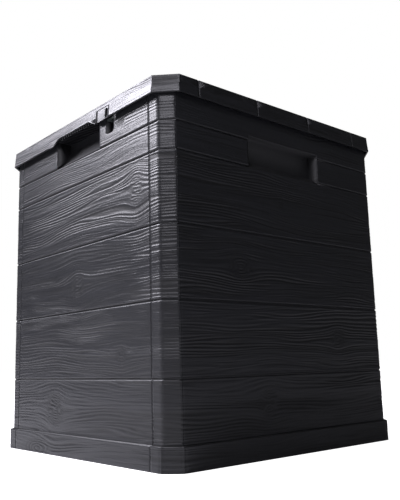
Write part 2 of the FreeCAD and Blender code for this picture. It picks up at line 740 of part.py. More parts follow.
def lid_rear(body):
    # pads behind the rear flange that carry the hinge leaves, with their rivet holes
    face = f"({lid_leaf_face} + dims.lid_leaf)"
    climb = f"({lid_leaf_top} - {lid_low}) * {draft_slope}"
    outside = f"({lid_depth} - dims.flange_wall / 2)"
    low, high = lid_leaf_low, lid_leaf_top
    for side, x in hinge_sides():
        pad = [(face, low), (outside, low), (f"{outside} - {climb}", high), (face, high)]
        extrude(body, f"leaf_pad_{side}", "YZ", pad, f"{x} - dims.lid_leaf_half",
                f"{x} + dims.lid_leaf_half")
        for end, sx in (("inner", -1), ("outer", 1)):
            place = f"{x} + {sx} * dims.rivet_half"
            extrude(body, f"rivet_{side}_{end}", "XZ", (place, rivet_height, rivet_bore),
                    f"{face} - dims.cut_past", f"{lid_depth} + dims.cut_past", cut=True)
            spot = (place, rivet_height, "dims.rivet_head + dims.spot_clear")
            extrude(body, f"spot_{side}_{end}", "XZ", spot, rivet_seat(),
                    f"{lid_depth} + dims.cut_past", cut=True)


def rivet_seat():
    drop = f"({rivet_height} + dims.rivet_head + dims.spot_clear - {lid_low}) * {draft_slope}"
    return f"({lid_depth} - {drop} - dims.rivet_sink)"


def make_lid_frame():
    # ribbed inner frame: rests on the rim and stiffens the cover
    body = new_body("lid_frame")
    seat = "(dims.wall_top + dims.frame_seat)"
    under_skin = f"({skin_under} - dims.frame_skin)"
    ring = "dims.frame_inset"
    extrude(body, "plate", "XY", wall_octagon("dims.frame_edge"), seat, skin_under)
    rim = "(dims.wall + dims.rim_reach + dims.frame_edge)"
    extrude(body, "plate_space", "XY", wall_octagon(rim), seat, under_skin, cut=True)
    extrude(body, "ring", "XY", wall_rectangle(ring), frame_low, under_skin)
    extrude(body, "ring_space", "XY", wall_rectangle(f"{ring} + dims.frame_rib"), frame_low,
            under_skin, cut=True)
    lattice(body, half_width, half_depth, ring, "dims.frame_rib", "frame_ribs",
            f"{frame_low} + dims.frame_rib", under_skin)
    outer = f"-1 * {half_depth}"
    right = "dims.lock_side + dims.lock_half + dims.frame_notch"
    notch = rectangle("-1 * (dims.comb_half + dims.frame_notch)", right, outer,
                      f"{outer} + dims.frame_inset - dims.frame_edge")
    extrude(body, "front_notch", "XY", notch, seat, f"{skin_under} + dims.cut_past", cut=True)
    for i, (x, y) in enumerate(frame_screw_places()):
        hole = (x, y, screw_bore)
        extrude(body, f"frame_hole_{i}", "XY", hole, f"{under_skin} - dims.cut_past",
                f"{skin_under} + dims.cut_past", cut=True)


def frame_pitch(span):
    inner = f"(2 * ({span} - dims.frame_inset - dims.frame_rib))"
    return f"({inner} / (dims.frame_ribs + 1))"


def frame_screw_places():
    # in the middles of lattice cells
    cells = [(sx * c, sy * c) for c in (1.5, 3.5) for sx in (-1, 1) for sy in (-1, 1)]
    return [(f"{x} * {frame_pitch(half_width)}", f"{y} * {frame_pitch(half_depth)}") for x, y in cells]


def barrel(body, name, low, high, web, closing=()):
    # round hinge barrel with the corner points that join it to its leaf; closing is its last arc, if any
    radius = "dims.barrel_radius"
    points = [
        (hinge_axis, f"{hinge_height} - {radius}", *closing),
        (f"{hinge_axis} + {radius}", hinge_height, radius, 1),
        (hinge_axis, f"{hinge_height} + {radius}", radius, 1),
    ]
    extrude(body, name, "YZ", points + web, low, high)


def bore_pin(body, x):
    hole = (hinge_axis, hinge_height, pin_bore)
    extrude(body, "pin_bore", "YZ", hole, f"{x} - dims.leaf_half - dims.cut_past",
            f"{x} + dims.leaf_half + dims.cut_past", cut=True)


def make_wall_leaf(side, x):
    body = new_body(f"hinge_wall_leaf_{side}")
    plate = rectangle(f"{x} - dims.leaf_half", f"{x} + dims.leaf_half", leaf_low, leaf_top)
    extrude(body, "plate", "XZ", plate, half_depth, wall_leaf_face)
    near = "(dims.knuckle_half + dims.knuckle_gap)"
    web = [
        (lid_leaf_face, hinge_height, "dims.barrel_radius", 1),
        (f"{half_depth} + dims.wall_leaf / 2", hinge_height),
        (f"{half_depth} + dims.wall_leaf / 2", f"{hinge_height} - dims.barrel_radius"),
    ]
    barrel(body, "knuckle_left", f"{x} - dims.leaf_half", f"{x} - {near}", web)
    barrel(body, "knuckle_right", f"{x} + {near}", f"{x} + dims.leaf_half", web)
    bore_pin(body, x)
    for i, place in enumerate(leaf_screw_places(x)):
        hole = (place, leaf_screw_height, screw_bore)
        extrude(body, f"hole_{i}", "XZ", hole, f"{half_depth} - dims.cut_past",
                f"{wall_leaf_face} + dims.cut_past", cut=True)


def make_lid_leaf(side, x):
    body = new_body(f"hinge_lid_leaf_{side}")
    back = f"{lid_leaf_face} + dims.lid_leaf"
    web = [
        (back, f"{hinge_height} + dims.barrel_radius"),
        (back, lid_leaf_top),
        (lid_leaf_face, lid_leaf_top),
        (lid_leaf_face, hinge_height),
    ]
    barrel(body, "knuckle", f"{x} - dims.knuckle_half", f"{x} + dims.knuckle_half", web,
           closing=("dims.barrel_radius", 1))
    plate = rectangle(f"{x} - dims.lid_leaf_half", f"{x} + dims.lid_leaf_half", lid_leaf_low,
                      lid_leaf_top)
    extrude(body, "plate", "XZ", plate, lid_leaf_face, back)
    stop_heel(body, x)
    bore_pin(body, x)
    for end, sx in (("inner", -1), ("outer", 1)):
        hole = (f"{x} + {sx} * dims.rivet_half", rivet_height, rivet_bore)
        extrude(body, f"hole_{end}", "XZ", hole, f"{lid_leaf_face} - dims.cut_past",
                f"{back} + dims.cut_past", cut=True)


def stop_heel(body, x):
    # block that meets the wall leaf when the lid is fully open, drawn where it stands with the lid shut
    def place(out, down):
        turned_y = f"{out} * cos(dims.open_angle) - ({down}) * sin(dims.open_angle)"
        turned_z = f"({down}) * cos(dims.open_angle) + {out} * sin(dims.open_angle)"
        return (f"{hinge_axis} + {turned_y}", f"{hinge_height} + {turned_z}")

    face = "(dims.wall_leaf + dims.heel_gap - dims.hinge_out)"
    heel = [
        place(face, "-1 * dims.heel_reach"),
        place("0", "-1 * dims.heel_reach"),
        place("0", "-1 * dims.pin_radius - dims.cut_past"),
        place(face, "-1 * dims.pin_radius - dims.cut_past"),
    ]
    extrude(body, "heel", "YZ", heel, f"{x} - dims.heel_half", f"{x} + dims.heel_half")


AXES = {"X": (Vector(0, 1, 0), 90), "Y": (Vector(1, 0, 0), -90), "Z": (Vector(0, 0, 1), 0)}


def rod(name, axis, place, radius, length):
    # cylinder that starts at place and runs along +axis
    cylinder = doc.addObject("Part::Cylinder", name)
    cylinder.setExpression("Radius", radius)
    cylinder.setExpression("Height", length)
    cylinder.Placement = Placement(Vector(0, 0, 0), Rotation(*AXES[axis]))
    for coordinate, expression in zip("xyz", place):
        cylinder.setExpression(f"Placement.Base.{coordinate}", expression)
    return cylinder


def fuse(name, parts):
    joined = doc.addObject("Part::MultiFuse", name)
    joined.Shapes = parts
    return joined


def group(label, parts):
    node = doc.addObject("Part::Compound", label)
    node.Label = label
    node.Links = parts
    nodes.append(node)


def fastener(name, axis, seat, facing, shank, head):
    # head sits at seat and faces along facing * axis; the shank runs the other way
    shank_radius, length = shank
    head_radius, height = head
    index = "XYZ".index(axis)

    def start(distance):
        place = list(seat)
        place[index] = f"{place[index]} - ({distance})"
        return place

    outward = rod(f"{name}_head", axis, start("0" if facing > 0 else height), head_radius, height)
    inward = rod(f"{name}_shank", axis, start(length if facing > 0 else "0"), shank_radius, length)
    return fuse(name, [outward, inward])


screw_head = ("dims.screw_head", "dims.screw_head_height")
rivet_head = ("dims.rivet_head", "dims.rivet_head_height")


def make_corner_screws():
    screws = []
    seat = f"({inner_depth} - dims.tee_height - dims.tee_thick - dims.slot_clear - dims.channel_wall)"
    length = "dims.channel_wall + dims.slot_clear + dims.tee_thick - dims.cut_past"
    for side, sx in (("left", -1), ("right", 1)):
        for end, sy in (("front", -1), ("rear", 1)):
            for i, height in enumerate(corner_screw_heights()):
                place = (f"{sx} * {tee_centre}", f"{sy} * {seat}", height)
                name = f"corner_screw_{side}_{end}_{i}"
                screws.append(fastener(name, "Y", place, -sy, ("dims.screw_radius", length), screw_head))
    group("corner_screws", screws)


def make_bracket_screws():
    length = "dims.bracket_thick + dims.wall + dims.lock_boss - dims.cut_past - dims.screw_tip"
    screws = []
    for side, x, z in bracket_screw_places():
        place = (x, f"{bracket_back} - dims.bracket_thick", z)
        screws.append(fastener(f"bracket_screw_{side}", "Y", place, -1, ("dims.screw_radius", length),
                               screw_head))
    group("bracket_screws", screws)


def make_leaf_screws():
    length = "dims.wall_leaf + dims.screw_bite - dims.screw_tip"
    screws = []
    for side, x in hinge_sides():
        for i, place in enumerate(leaf_screw_places(x)):
            seat = (place, wall_leaf_face, leaf_screw_height)
            screws.append(fastener(f"leaf_screw_{side}_{i}", "Y", seat, 1, ("dims.screw_radius", length),
                                   screw_head))
    group("wall_leaf_screws", screws)


def make_frame_screws():
    length = "dims.frame_skin + dims.lid_skin * dims.lid_screw_share"
    screws = []
    for i, (x, y) in enumerate(frame_screw_places()):
        seat = (x, y, f"{skin_under} - dims.frame_skin")
        screws.append(fastener(f"frame_screw_{i}", "Z", seat, -1, ("dims.screw_radius", length),
                               screw_head))
    group("lid_frame_screws", screws)


def make_leaf_rivets():
    length = f"{rivet_seat()} - {lid_leaf_face}"
    rivets = []
    for side, x in hinge_sides():
        for end, sx in (("inner", -1), ("outer", 1)):
            name = f"rivet_{side}_{end}"
            place = (f"{x} + {sx} * dims.rivet_half", rivet_seat(), rivet_height)
            whole = fastener(name, "Y", place, 1, ("dims.rivet_radius", length), rivet_head)
            tail_place = (place[0], f"{lid_leaf_face} - dims.rivet_head_height", place[2])
            tail = rod(f"{name}_tail", "Y", tail_place, *rivet_head)
            rivets.append(fuse(f"{name}_set", [whole, tail]))
    group("lid_leaf_rivets", rivets)


def make_pin(side, x):
    # headed pin that reaches past the far knuckle to take its clip
    spare = "(dims.clip_thick + 2 * dims.knuckle_gap)"
    start = (f"{x} - dims.leaf_half - {spare}", hinge_axis, hinge_height)
    end = f"{x} + dims.leaf_half + dims.knuckle_gap"
    shank = rod(f"pin_{side}_shank", "X", start, "dims.pin_radius", f"{end} - ({start[0]})")
    head = rod(f"pin_{side}_head", "X", (end, start[1], start[2]), "dims.pin_head",
               "dims.pin_head_height")
    pin = fuse(f"hinge_pin_{side}", [shank, head])
    pin.Label = f"hinge_pin_{side}"
    nodes.append(pin)


def make_pin_clips():
    clips = []
    for side, x in hinge_sides():
        place = (f"{x} - dims.leaf_half - dims.knuckle_gap - dims.clip_thick", hinge_axis,
                 hinge_height)
        disc = rod(f"clip_{side}_disc", "X", place, "dims.pin_head", "dims.clip_thick")
        hole = rod(f"clip_{side}_hole", "X", place, "dims.pin_radius + dims.pin_clear / 3",
                   "dims.clip_thick")
        ring = doc.addObject("Part::Cut", f"clip_{side}")
        ring.Base = disc
        ring.Tool = hole
        clips.append(ring)
    group("pin_clips", clips)


def check_and_write():
    faults = []
    for item in doc.Objects:
        if {"Invalid", "Error"} & set(item.State):
            faults.append(f"{item.Name}: {item.State}")
        if item.TypeId == "PartDesign::Pocket" and not faults:
            if item.Shape.Volume > item.BaseFeature.Shape.Volume - 0.1:
                faults.append(f"{item.Name}: cuts nothing")
    for node in nodes:
        if node.Shape.isNull() or not node.Shape.isValid():
            faults.append(f"{node.Label}: bad shape")
    if faults:
        raise RuntimeError("; ".join(faults))
    os.makedirs("parts", exist_ok=True)
    for node in nodes:
        node.Shape.exportStep(f"parts/{node.Label}.step")
        print(f"{node.Label}: {len(node.Shape.Solids)} solid(s), {node.Shape.Volume / 1000:.1f} cm3")


make_floor_panel()
make_front_panel()
make_rear_panel()
make_side_panel("left_side_panel", -1)
make_side_panel("right_side_panel", 1)
make_corner_screws()
make_lock_bracket()
make_bracket_screws()
make_lid_shell()
make_lid_frame()
make_frame_screws()
for hinge, middle_x in hinge_sides():
    make_wall_leaf(hinge, middle_x)
    make_lid_leaf(hinge, middle_x)
    make_pin(hinge, middle_x)
make_leaf_screws()
make_leaf_rivets()
make_pin_clips()
doc.recompute()
check_and_write()
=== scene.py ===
import json
import math

import bmesh
import bpy
import numpy as np
from mathutils import Matrix, Vector
from mathutils.kdtree import KDTree


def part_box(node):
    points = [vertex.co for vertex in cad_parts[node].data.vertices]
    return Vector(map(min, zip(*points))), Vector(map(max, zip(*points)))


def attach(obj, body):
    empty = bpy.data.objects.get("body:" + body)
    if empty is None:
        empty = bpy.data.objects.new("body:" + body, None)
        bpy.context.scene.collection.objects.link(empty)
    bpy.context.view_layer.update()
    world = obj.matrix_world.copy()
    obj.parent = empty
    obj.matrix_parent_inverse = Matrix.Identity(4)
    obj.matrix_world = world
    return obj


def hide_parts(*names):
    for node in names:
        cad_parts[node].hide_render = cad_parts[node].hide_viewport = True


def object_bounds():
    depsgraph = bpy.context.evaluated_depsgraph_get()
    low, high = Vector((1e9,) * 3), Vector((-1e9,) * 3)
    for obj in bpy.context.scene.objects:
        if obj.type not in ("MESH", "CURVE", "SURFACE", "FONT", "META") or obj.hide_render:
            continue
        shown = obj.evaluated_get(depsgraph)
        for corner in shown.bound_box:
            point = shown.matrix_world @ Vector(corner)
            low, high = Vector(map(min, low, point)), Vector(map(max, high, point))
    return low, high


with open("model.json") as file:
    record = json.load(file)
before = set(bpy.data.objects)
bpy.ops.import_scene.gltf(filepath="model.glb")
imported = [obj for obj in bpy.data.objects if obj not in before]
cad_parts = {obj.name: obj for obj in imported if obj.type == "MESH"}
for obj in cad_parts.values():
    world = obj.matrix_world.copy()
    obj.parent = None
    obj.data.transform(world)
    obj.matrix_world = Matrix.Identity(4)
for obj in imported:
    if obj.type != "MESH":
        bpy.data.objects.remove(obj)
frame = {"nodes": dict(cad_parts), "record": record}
cadLow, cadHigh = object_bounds()
print("stage: frame loaded")

millimetre = 0.001


# Smooth lattice noise, from -1 to 1, one cell per unit.
def latticeNoise(seed, a, b):
    table = np.random.default_rng(seed).uniform(-1.0, 1.0, (257, 257))
    cellA = np.floor(a).astype(int)
    cellB = np.floor(b).astype(int)
    partA = a - cellA
    partB = b - cellB
    partA = partA * partA * (3 - 2 * partA)
    partB = partB * partB * (3 - 2 * partB)
    cellA %= 256
    cellB %= 256
    low = table[cellA, cellB] * (1 - partA) + table[cellA + 1, cellB] * partA
    high = table[cellA, cellB + 1] * (1 - partA) + table[cellA + 1, cellB + 1] * partA
    return low * (1 - partB) + high * partB


def smoothStep(low, high, value):
    t = np.clip((value - low) / (high - low), 0, 1)
    return t * t * (3 - 2 * t)


# Grain lines part round each knot; rings fill it. Lengths are in millimetres.
def knotFlow(u, v, knots):
    flow = v.copy()
    rings = np.zeros_like(v)
    cover = np.zeros_like(v)
    for knotU, knotV, wide, tall, push in knots:
        du = (u - knotU) / wide
        dv = (v - knotV) / tall
        apart = du * du + dv * dv
        flow -= push * (v - knotV) / (1 + apart)
        inside = 1 - smoothStep(0.5, 1.15, np.sqrt(apart))
        wobble = 0.12 * latticeNoise(int(abs(knotU)) + 5, u / 14, v / 14)
        ring = np.cos((np.sqrt(apart) + wobble) * tall * 2 * math.pi / 4.2)
        rings = rings * (1 - inside) + ring * inside
        cover = np.maximum(cover, inside)
    return flow, rings, cover


grain = {
    "seed": 11,
    "depth": 1.02,
    "pitch": 4.9,
    "closePlanks": (10, 12, 41, 61, 63, 65, 67, 69),
    "closePitch": 0.7,
    "closeDepth": 0.72,
    "waveShare": 0.66,
    "fineShare": 0.3,
    "broadShare": 0.3,
    "ringShare": 0.6,
    "lip": 0.75,
    "lipReach": 2.4,
    "edgeFade": (1.0, 3.6),
    "rimFade": (0.8, 3.5),
    "borderStart": 0.2,
}


# Depth of the moulded grain below the face, in millimetres, and its flow.
def grainDepth(u, v, plank, knots, strength):
    flow, rings, cover = knotFlow(u, v, knots)
    along = u + plank * 731.7
    across = flow + plank * 173.3
    seed = grain["seed"]
    wander = 7.5 * latticeNoise(seed, along / 230, across / 46)
    wander += 1.3 * latticeNoise(seed + 1, along / 52, across / 15)
    line = across + wander
    close = np.isin(plank, grain["closePlanks"])
    phase = line / (grain["pitch"] * np.where(close, grain["closePitch"], 1))
    phase += 1.1 * latticeNoise(seed + 2, along / 110, line / 11)
    wave = (0.5 + 0.5 * np.cos(2 * math.pi * phase)) ** 1.7
    gate = smoothStep(-0.35, 0.75, latticeNoise(seed + 3, along / 140, line / 12))
    fine = 0.5 + 0.5 * latticeNoise(seed + 4, along / 48, line / 2.1)
    broad = 0.5 + 0.5 * latticeNoise(seed + 5, along / 210, line / 14)
    depth = grain["waveShare"] * wave * (0.22 + 0.78 * gate)
    depth += grain["fineShare"] * fine + grain["broadShare"] * broad
    ringDepth = grain["ringShare"] * (0.5 + 0.5 * rings) + 0.25
    depth = depth * (1 - 0.85 * cover) + ringDepth * 0.85 * cover
    depth = depth * np.where(close, grain["closeDepth"], 1)
    return grain["depth"] * strength * depth, flow


# A chart is one flat face of the outside: its point, run, rise and outward side, and its set of planks.
def wallCharts(halfX, halfY, cut, plankSet):
    x, y = halfX - cut, halfY - cut
    corners = [(-x, -halfY), (x, -halfY), (halfX, -y), (halfX, y)]
    corners += [(x, halfY), (-x, halfY), (-halfX, y), (-halfX, -y)]
    charts = []
    start = -x
    for k in range(8):
        a = Vector((*corners[k], 0))
        b = Vector((*corners[(k + 1) % 8], 0))
        run = (b - a).normalized()
        charts.append({"point": a, "run": run, "rise": Vector((0, 0, 1)), "out": run.cross(Vector((0, 0, 1))),
                       "start": start, "length": (b - a).length, "planks": "wall", "set": plankSet})
        start += (b - a).length
    return charts


cells = {
    "merge": 1e-5,
    "flatAngle": 0.003,
    "sharpAngle": 38,
    "facing": 0.994,
    "overrun": 0.012,
    "markLength": 0.0035,
    "markGap": 0.0004,
    "splitRise": 0.0016,
    "splitRun": 0.006,
    "endClear": 0.001,
}


# Number of the chart a face lies on, from 1, or 0.
def chartOf(charts, centre, normal, reach):
    best = 0
    overrun = cells["overrun"]
    for k, chart in enumerate(charts):
        if normal.dot(chart["out"]) < cells["facing"]:
            continue
        away = centre - chart["point"]
        offset = away.dot(chart["out"])
        along = away.dot(chart["run"])
        if reach[0] < offset < reach[1] and -overrun < along < chart["length"] + overrun:
            best = k + 1
    return best


def chartElements(bm, layer, k):
    faces = [f for f in bm.faces if f[layer] == k]
    edges = list({e for f in faces for e in f.edges})
    verts = list({v for e in edges for v in e.verts})
    return faces, edges, verts


def spread(low, high, pitch):
    count = max(1, round((high - low) / pitch))
    return [low + (high - low) * i / count for i in range(1, count)]


grooves = {
    "flank": 0.0013,
    "sink": 0.0018,
    "flankWidest": 0.0026,
    "shortest": 0.002,
    "turn": (-0.2, -0.02),
}


# Opens each V groove into a steep slot with a flat bottom, so that it reads as a dark line.
def openGrooves(bm, layer):
    lines = []
    lowTurn, highTurn = grooves["turn"]
    for e in bm.edges:
        if len(e.link_faces) != 2 or any(f[layer] for f in e.link_faces):
            continue
        if e.calc_length() < grooves["shortest"]:
            continue
        one, two = (f.normal for f in e.link_faces)
        middle = e.verts[0].co + e.verts[1].co
        if lowTurn < one.dot(two) < highTurn and (one + two).dot(middle) > 0:
            wide = max(f.calc_area() / e.calc_length() for f in e.link_faces)
            if wide < grooves["flankWidest"] and e.calc_face_angle_signed() < 0:
                lines.append(e)
    made = bmesh.ops.bevel(bm, geom=lines, offset=grooves["flank"], offset_type="OFFSET",
                           segments=1, profile=0.5, affect="EDGES", material=-1)["faces"]
    bm.normal_update()
    floors = {}
    for f in made:
        if f.calc_area() > 1e-7:
            for v in f.verts:
                sides = floors.setdefault(v, [])
                if all(f.normal.dot(n) < 0.999 for n in sides):
                    sides.append(f.normal.copy())
    for v, sides in floors.items():
        total = sum(sides, Vector())
        v.co -= total * (grooves["sink"] / total.dot(sides[0]))
    return len(lines)


# Cuts each chart's faces into near-square cells that meet its own corners and edges.
def cutCells(bm, layer, charts, look):
    for k, chart in enumerate(charts, 1):
        for axis, other, pitch in (("run", "rise", look["columnPitch"]), ("rise", "run", look["rowPitch"])):
            faces, edges, verts = chartElements(bm, layer, k)
            if not faces:
                break
            direction = chart[axis]
            marks = set()
            for e in edges:
                a, b = (v.co - chart["point"] for v in e.verts)
                crosswise = abs((b - a).dot(chart[other]))
                if crosswise > cells["markLength"] and abs((b - a).dot(direction)) < look["lean"] * crosswise:
                    marks.add(round((a + b).dot(direction) / 2, 5))
            if axis == "run":
                lowEnd, highEnd = min(marks) + cells["endClear"], max(marks) - cells["endClear"]
                for m in look["roundColumns"]:
                    for x in (m, chart["length"] - m):
                        if lowEnd < x < highEnd:
                            marks.add(round(x, 5))
            marks = sorted(marks)
            kept = marks[:1]
            for m in marks[1:]:
                if m - kept[-1] > cells["markGap"]:
                    kept.append(m)
            cuts = list(kept[1:-1])
            for low, high in zip(kept, kept[1:]):
                cuts += spread(low, high, pitch)
            for cut in sorted(cuts):
                faces, edges, verts = chartElements(bm, layer, k)
                point = chart["point"] + direction * cut
                bmesh.ops.bisect_plane(bm, geom=faces + edges + verts, dist=1e-6,
                                       plane_co=point, plane_no=direction)
        stray = []
        for e in bm.edges:
            if len(e.link_faces) == 2 and all(f[layer] == k for f in e.link_faces):
                d = (e.verts[1].co - e.verts[0].co).normalized()
                flat = e.link_faces[0].normal.dot(e.link_faces[1].normal) > 0.99999
                if flat and abs(d.dot(chart["run"])) < 0.9995 and abs(d.dot(chart["rise"])) < 0.9995:
                    stray.append(e)
        if stray:
            bmesh.ops.dissolve_edges(bm, edges=stray, use_verts=False, use_face_split=False)


# Splits the charts' long edges along one axis and fills the cells between.
def splitLong(bm, layer, charts, axis, pitch, least):
    groups = {}
    for e in bm.edges:
        tags = [f[layer] for f in e.link_faces if f[layer]]
        if not tags:
            continue
        span = e.verts[1].co - e.verts[0].co
        length = span.length
        if length > least and abs(span.dot(charts[tags[0] - 1][axis])) > 0.999 * length:
            groups.setdefault(max(1, round(length / pitch) - 1), []).append(e)
    for cuts, edges in groups.items():
        bmesh.ops.subdivide_edges(bm, edges=edges, cuts=cuts, use_grid_fill=True)


def meshArrays(mesh):
    count = len(mesh.vertices)
    co = np.zeros(count * 3)
    mesh.vertices.foreach_get("co", co)
    loopVert = np.zeros(len(mesh.loops), int)
    mesh.loops.foreach_get("vertex_index", loopVert)
    total = np.zeros(len(mesh.polygons), int)
    mesh.polygons.foreach_get("loop_total", total)
    tag = np.zeros(len(mesh.polygons), int)
    mesh.attributes["chart"].data.foreach_get("value", tag)
    return co.reshape(-1, 3), loopVert, np.repeat(tag, total)


# Distance from each vertex to the nearest one that grained and plain faces share, in millimetres.
def borderGap(co, loopVert, loopTag):
    onGrain = np.zeros(len(co), bool)
    onGrain[loopVert[loopTag > 0]] = True
    onPlain = np.zeros(len(co), bool)
    onPlain[loopVert[loopTag == 0]] = True
    border = np.flatnonzero(onGrain & onPlain)
    tree = KDTree(len(border))
    for i, k in enumerate(border):
        tree.insert(co[k], i)
    tree.balance()
    gap = np.zeros(len(co))
    for k in np.flatnonzero(onGrain):
        gap[k] = tree.find(co[k])[2] / millimetre
    return gap


# Presses the grain into the tagged faces of a piece, rounds its upright edges and writes its grain map.
def pressGrain(mesh, charts, plankEdges, look):
    co, loopVert, loopTag = meshArrays(mesh)
    count = len(co)
    edgeRound = look["edgeRound"]
    calm = np.ones(count)
    if look["fade"]:
        calm = smoothStep(grain["borderStart"], look["fade"], borderGap(co, loopVert, loopTag))
    out = np.zeros((count, 3))
    touched = np.zeros(count, bool)
    flowMap = np.zeros(count)
    runMap = np.zeros(count)
    push = np.zeros(count)
    rounding = np.zeros(count)
    for k, chart in enumerate(charts, 1):
        own = np.unique(loopVert[loopTag == k])
        if not len(own):
            continue
        away = co[own] - np.array(chart["point"])
        along = away @ np.array(chart["run"])
        rise = away @ np.array(chart["rise"])
        u = (along + chart["start"]) / millimetre
        v = rise / millimetre
        kind = chart["planks"]
        edges = np.array(plankEdges[kind]) / millimetre
        plank = np.searchsorted(edges, v).astype(float) + chart["set"]
        depth, flow = grainDepth(u, v, plank, look["knots"], look["strength"][kind])
        edgeGap = np.min(np.abs(v[:, None] - edges[None, :]), axis=1)
        mask = smoothStep(*grain["edgeFade"], edgeGap)
        lip = grain["lip"] * np.clip(1 - edgeGap / grain["lipReach"], 0, 1) ** 2
        for rimPoint, rimOut in chart.get("rim", []):
            inwards = (np.array(rimPoint) - co[own]) @ np.array(rimOut) / millimetre
            mask = mask * smoothStep(*grain["rimFade"], inwards)
            lip = np.maximum(lip, grain["lip"] * np.clip(1 - inwards / grain["lipReach"], 0, 1) ** 2)
        depth = depth * mask * calm[own] + lip
        first = ~touched[own]
        out[own] += np.array(chart["out"])
        push[own] = np.where(first, depth, 0.5 * (push[own] + depth))
        flowMap[own] = flow
        runMap[own] = u
        if edgeRound:
            turn = edgeRound * math.tan(math.radians(22.5))
            near = np.minimum(np.abs(along), np.abs(chart["length"] - along)) / millimetre
            inner = np.clip(turn - near, 0, turn)
            rounding[own] = np.maximum(rounding[own], edgeRound - np.sqrt(edgeRound ** 2 - inner ** 2))
        touched[own] = True
    lengths = np.linalg.norm(out, axis=1)
    out[touched] /= lengths[touched][:, None]
    co[touched] -= out[touched] * ((push + rounding)[touched] * millimetre)[:, None]
    mesh.vertices.foreach_set("co", co.ravel())
    relief = mesh.attributes.new("relief", "FLOAT", "POINT")
    relief.data.foreach_set("value", (push / grain["depth"]).astype(np.float32))
    layer = mesh.uv_layers.new(name="grainMap")
    uv = np.stack([runMap[loopVert], flowMap[loopVert]], axis=1) * millimetre
    bare = loopTag == 0
    uv[bare, 0] = co[loopVert[bare], 0] + co[loopVert[bare], 1]
    uv[bare, 1] = co[loopVert[bare], 2]
    layer.data.foreach_set("uv", uv.ravel())
    mesh.update()


plankEnds = {
    "level": 2e-5,
    "shortest": 0.006,
    "reach": 0.0022,
}


# Heights where planks end: level edges, not between two wall faces, that reach an end of their chart's faces.
def plankHeights(bm, layer, charts, kind):
    marks = set()
    for k, chart in enumerate(charts, 1):
        if chart["planks"] != kind:
            continue
        faces = [f for f in bm.faces if f[layer] == k]
        if not faces:
            continue
        runs = [(v.co - chart["point"]).dot(chart["run"]) for f in faces for v in f.verts]
        ends = (min(runs), max(runs))
        for e in {e for f in faces for e in f.edges}:
            kinds = {charts[g[layer] - 1]["planks"] if g[layer] else None for g in e.link_faces}
            if kinds == {"wall"}:
                continue
            a, b = (v.co - chart["point"] for v in e.verts)
            long = e.calc_length() > plankEnds["shortest"]
            level = long and abs((b - a).dot(chart["rise"])) < plankEnds["level"]
            reaches = any(abs(p.dot(chart["run"]) - x) < plankEnds["reach"] for p in (a, b) for x in ends)
            if level and reaches:
                marks.add(round(a.dot(chart["rise"]), 4))
    return sorted(marks)


# Copies a node's mesh, cuts its outside into cells and presses the grain into it.
def grainedPiece(name, node, charts, body, look):
    bm = bmesh.new()
    bm.from_mesh(frame["nodes"][node].data)
    bmesh.ops.remove_doubles(bm, verts=bm.verts, dist=cells["merge"])
    bmesh.ops.dissolve_limit(bm, angle_limit=cells["flatAngle"], verts=bm.verts, edges=bm.edges, delimit=set())
    layer = bm.faces.layers.int.new("chart")
    bm.normal_update()
    for f in bm.faces:
        f[layer] = chartOf(charts, f.calc_center_median(), f.normal, look["reach"])
    heights = {kind: plankHeights(bm, layer, charts, kind) for kind in ("wall", "top")}
    slots = openGrooves(bm, layer)
    cutCells(bm, layer, charts, look)
    splitLong(bm, layer, charts, "rise", look["finePitch"], cells["splitRise"])
    splitLong(bm, layer, charts, "run", look["longPitch"], cells["splitRun"])
    for f in bm.faces:
        shown = f[layer] or chartOf(charts, f.calc_center_median(), f.normal, look["skin"])
        f.material_index = 0 if shown else 1
        f.smooth = True
    mesh = bpy.data.meshes.new(name)
    bm.to_mesh(mesh)
    bm.free()
    pressGrain(mesh, charts, heights, look)
    mesh.set_sharp_from_angle(angle=math.radians(cells["sharpAngle"]))
    piece = bpy.data.objects.new(name, mesh)
    bpy.context.scene.collection.objects.link(piece)
    for material in (grained, moulded):
        mesh.materials.append(material)
    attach(piece, body)
    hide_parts(node)
    print("stage:", name, len(mesh.polygons), "faces;", slots, "groove lines; plank edges", heights)


def newMaterial(name):
    material = bpy.data.materials.new(name)
    material.use_nodes = True
    tree = material.node_tree
    return material, tree, tree.nodes["Principled BSDF"]


def addNode(tree, kind, **settings):
    node = tree.nodes.new(kind)
    for key, value in settings.items():
        if key == "inputs":
            for socket, given in value.items():
                node.inputs[socket].default_value = given
        else:
            setattr(node, key, value)
    return node


def newGroup(name, inputs, outputs):
    group = bpy.data.node_groups.new(name, "ShaderNodeTree")
    for socket, kind, value in inputs:
        made = group.interface.new_socket(name=socket, in_out="INPUT", socket_type=kind)
        if value is not None:
            made.default_value = value
    for socket, kind in outputs:
        group.interface.new_socket(name=socket, in_out="OUTPUT", socket_type=kind)
    return group, group.nodes.new("NodeGroupInput"), group.nodes.new("NodeGroupOutput")


def mathNode(tree, operation, a, b=None, clamp=False):
    node = tree.nodes.new("ShaderNodeMath")
    node.operation = operation
    node.use_clamp = clamp
    for index, value in enumerate((a, b)):
        if value is None:
            continue
        if isinstance(value, (int, float)):
            node.inputs[index].default_value = value
        else:
            tree.links.new(value, node.inputs[index])
    return node.outputs[0]


def rangeNode(tree, value, low, high, toLow, toHigh):
    node = tree.nodes.new("ShaderNodeMapRange")
    node.interpolation_type = "SMOOTHSTEP"
    tree.links.new(value, node.inputs["Value"])
    for socket, given in (("From Min", low), ("From Max", high), ("To Min", toLow), ("To Max", toHigh)):
        node.inputs[socket].default_value = given
    return node.outputs[0]


